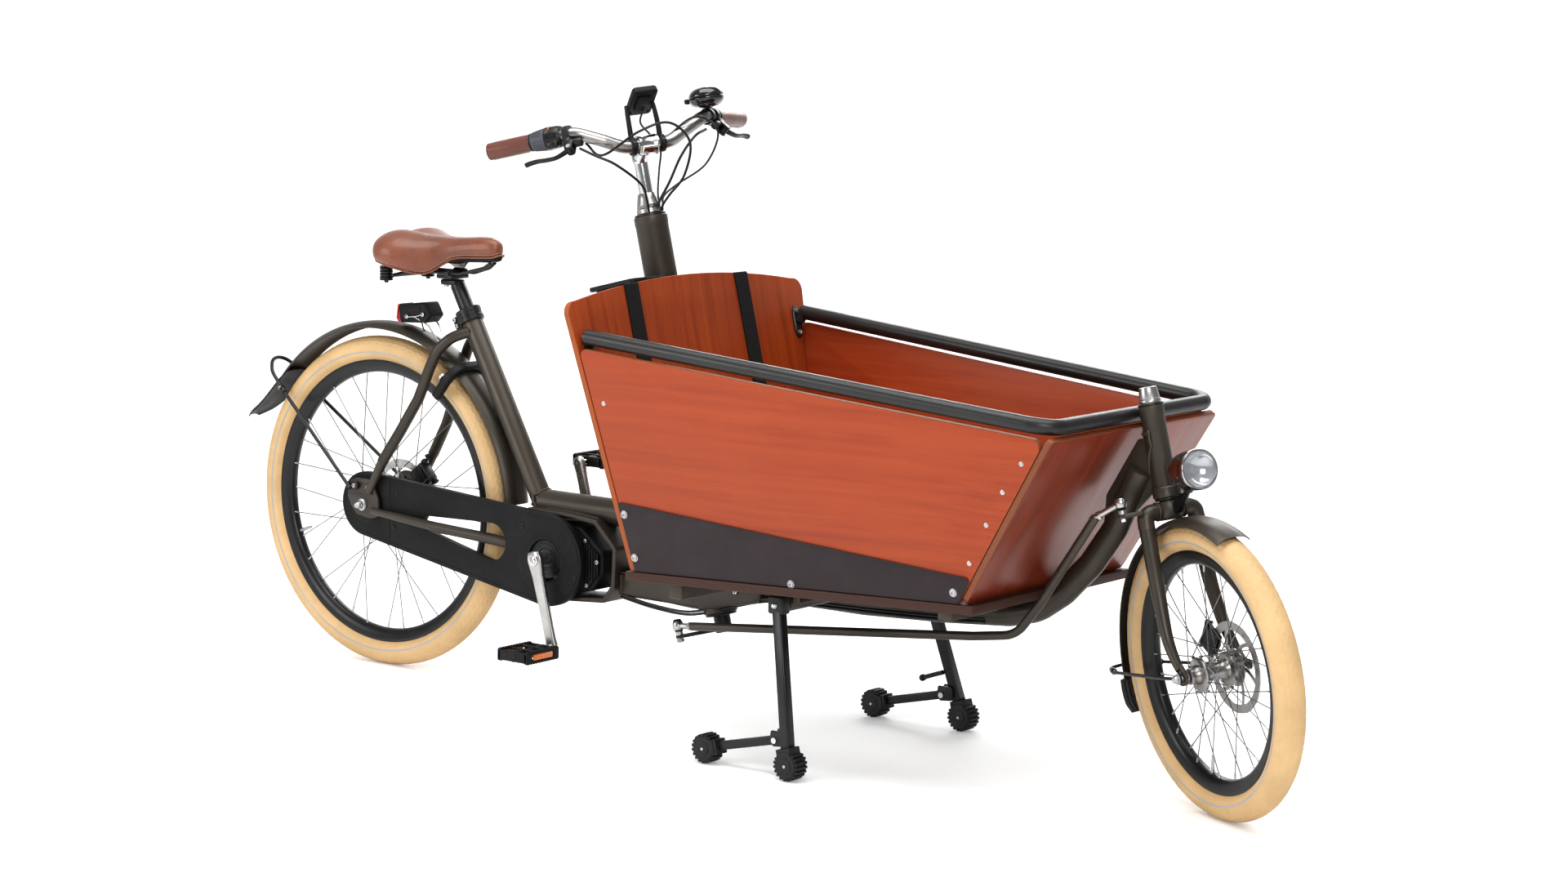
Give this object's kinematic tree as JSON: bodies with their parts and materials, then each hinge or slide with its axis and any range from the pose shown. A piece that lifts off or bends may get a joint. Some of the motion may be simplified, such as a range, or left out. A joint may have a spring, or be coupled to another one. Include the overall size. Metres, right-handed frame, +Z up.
{
  "type": "cargo bicycle",
  "caption": "Long electric cargo bicycle with a plywood box ahead of the rider, rod-linked steering, enclosed chain drive and a folding double-leg stand.",
  "frame": {"origin": "point on the ground directly under the rear axle, in the bicycle's mid-plane", "axes": "+X forward along the bicycle, +Y to the rider's left, +Z up"},
  "size_m": [2.5719, 0.6916, 1.2051],
  "materials": {
    "frame_paint": "matte metallic dark bronze",
    "plywood": "satin orange-brown stain",
    "front_plywood": "gloss dark mahogany",
    "floor_plywood": "dark brown film",
    "strip": "matte dark aubergine grey",
    "rail_paint": "satin charcoal",
    "black_metal": "satin black",
    "black_plastic": "matte black",
    "gloss_black": "gloss black",
    "chrome": "polished",
    "brushed": "brushed",
    "aluminium": "polished",
    "cream_tyre": "cream sidewall and tread",
    "brown_leather": "satin brown",
    "webbing": "woven",
    "grey_plastic": "matte grey",
    "red_lens": "red lens",
    "steel_chain": "oiled steel"
  },
  "bodies": {
    "frame": {"frame": "frame_paint", "motor_unit": "black_plastic", "chain_case": "black_plastic", "chain": "steel_chain", "floor_board": "floor_plywood", "side_panel_right": "plywood", "side_panel_left": "plywood", "front_panel": "front_plywood", "headboard": "plywood", "kick_strips": "strip", "box_rail": "rail_paint", "box_fasteners": "brushed", "shoulder_straps": "webbing", "rear_fender": "frame_paint", "rear_fender_stays": "black_metal", "tail_light": "red_lens", "ring_lock": "black_plastic", "seat_clamp": "black_metal", "headset_cups": "black_metal", "rear_caliper": "black_metal", "rear_axle": "brushed"},
    "bench": {"bench_board": "plywood"},
    "battery": {"battery": "black_plastic"},
    "seat": {"seat_post": "black_metal", "saddle": "brown_leather", "saddle_rails": "black_metal"},
    "handlebar": {"steering_column": "black_metal", "stem": "chrome", "handlebar": "brushed", "grips": "brown_leather", "display": "black_plastic", "bell": "gloss_black", "brake_perches": "black_plastic", "control_cables": "black_plastic"},
    "bell_lever": {"bell_lever": "black_plastic"},
    "brake_lever_right": {"brake_lever_right": "black_metal"},
    "brake_lever_left": {"brake_lever_left": "black_metal"},
    "twist_shifter": {"twist_shifter": "grey_plastic"},
    "tie_rod": {"tie_rod": "frame_paint"},
    "fork": {"fork": "frame_paint", "front_fender": "frame_paint", "headlight": "chrome", "front_caliper": "black_metal", "front_axle": "brushed"},
    "front_wheel": {"front_tyre": "cream_tyre", "front_rim": "black_metal", "front_spokes": "brushed", "front_hub": "aluminium", "front_rotor": "brushed"},
    "rear_wheel": {"rear_tyre": "cream_tyre", "rear_rim": "black_metal", "rear_spokes": "brushed", "rear_hub": "aluminium", "rear_rotor": "brushed"},
    "rear_sprocket": {"rear_sprocket": "steel_chain"},
    "crank_set": {"crank_set": "aluminium"},
    "pedal_right": {"pedal_right": "black_plastic"},
    "pedal_left": {"pedal_left": "black_plastic"},
    "stand": {"stand": "black_metal"},
    "foot_bars": {"foot_bars": "black_metal"}
  },
  "joints": [
    {"name": "steer", "type": "hinge", "parent": "frame", "child": "handlebar", "pos_m": [0.685, 0, 0.951], "axis": [-0.2419, 0, 0.9703], "range_deg": [-10, 58]},
    {"name": "fork_turn", "type": "hinge", "parent": "frame", "child": "fork", "pos_m": [1.797, 0, 0.693], "axis": [-0.2419, 0, 0.9703], "range_deg": [-10, 58]},
    {"name": "tie_rod_swing", "type": "hinge", "parent": "handlebar", "child": "tie_rod", "pos_m": [0.82533, -0.07488, 0.19551], "axis": [-0.2419, 0, 0.9703], "range_deg": [-58, 10]},
    {"name": "front_wheel_spin", "type": "hinge", "parent": "fork", "child": "front_wheel", "pos_m": [1.95131, -0.02347, 0.25658], "axis": [0.4555, 0.8829, 0.1136], "continuous": true},
    {"name": "rear_wheel_spin", "type": "hinge", "parent": "frame", "child": "rear_wheel", "pos_m": [0, 0, 0.335], "axis": [0, 1, 0], "continuous": true},
    {"name": "crank_spin", "type": "hinge", "parent": "frame", "child": "crank_set", "pos_m": [0.481, 0, 0.281], "axis": [0, 1, 0], "continuous": true},
    {"name": "sprocket_spin", "type": "hinge", "parent": "frame", "child": "rear_sprocket", "pos_m": [0, 0, 0.335], "axis": [0, 1, 0], "continuous": true},
    {"name": "pedal_right_spin", "type": "hinge", "parent": "crank_set", "child": "pedal_right", "pos_m": [0.52523, 0, 0.11478], "axis": [0, 1, 0], "continuous": true},
    {"name": "pedal_left_spin", "type": "hinge", "parent": "crank_set", "child": "pedal_left", "pos_m": [0.43677, 0, 0.44722], "axis": [0, 1, 0], "continuous": true},
    {"name": "stand_fold", "type": "hinge", "parent": "frame", "child": "stand", "pos_m": [1.176, 0, 0.3], "axis": [0, 1, 0], "range_deg": [0, 78]},
    {"name": "foot_bar_fold", "type": "hinge", "parent": "stand", "child": "foot_bars", "pos_m": [1.205, 0, 0.066], "axis": [0, 1, 0], "range_deg": [-78, 0]},
    {"name": "brake_right", "type": "hinge", "parent": "handlebar", "child": "brake_lever_right", "pos_m": [0.61678, -0.15358, 1.07936], "axis": [-0.0835, 0.7507, -0.6553], "range_deg": [0, 14]},
    {"name": "brake_left", "type": "hinge", "parent": "handlebar", "child": "brake_lever_left", "pos_m": [0.74827, 0.13997, 1.11215], "axis": [0.5849, 0.2212, 0.7803], "range_deg": [0, 14]},
    {"name": "shift_twist", "type": "hinge", "parent": "handlebar", "child": "twist_shifter", "pos_m": [0.53978, -0.15197, 1.09103], "axis": [0.9244, 0.304, 0.2305], "range_deg": [-60, 60]},
    {"name": "bell_ring", "type": "hinge", "parent": "handlebar", "child": "bell_lever", "pos_m": [0.72751, 0.11035, 1.17287], "axis": [-0.2419, 0, 0.9703], "range_deg": [0, 30]},
    {"name": "seat_height", "type": "slide", "parent": "frame", "child": "seat", "axis": [-0.4874, 0, 0.8732], "range_m": [-0.03, 0.12]},
    {"name": "battery_slide", "type": "slide", "parent": "frame", "child": "battery", "axis": [-0.2419, 0, 0.9703], "range_m": [0, 0.12]},
    {"name": "bench_fold", "type": "hinge", "parent": "frame", "child": "bench", "pos_m": [0.85603, 0, 0.56069], "axis": [0, -1, 0], "range_deg": [0, 88]}
  ],
  "couplings": [
    {"joint": "fork_turn", "follows": "steer", "ratio": 1},
    {"joint": "tie_rod_swing", "follows": "steer", "ratio": -1},
    {"joint": "sprocket_spin", "follows": "crank_spin", "ratio": 1.7273},
    {"joint": "foot_bar_fold", "follows": "stand_fold", "ratio": -1}
  ]
}
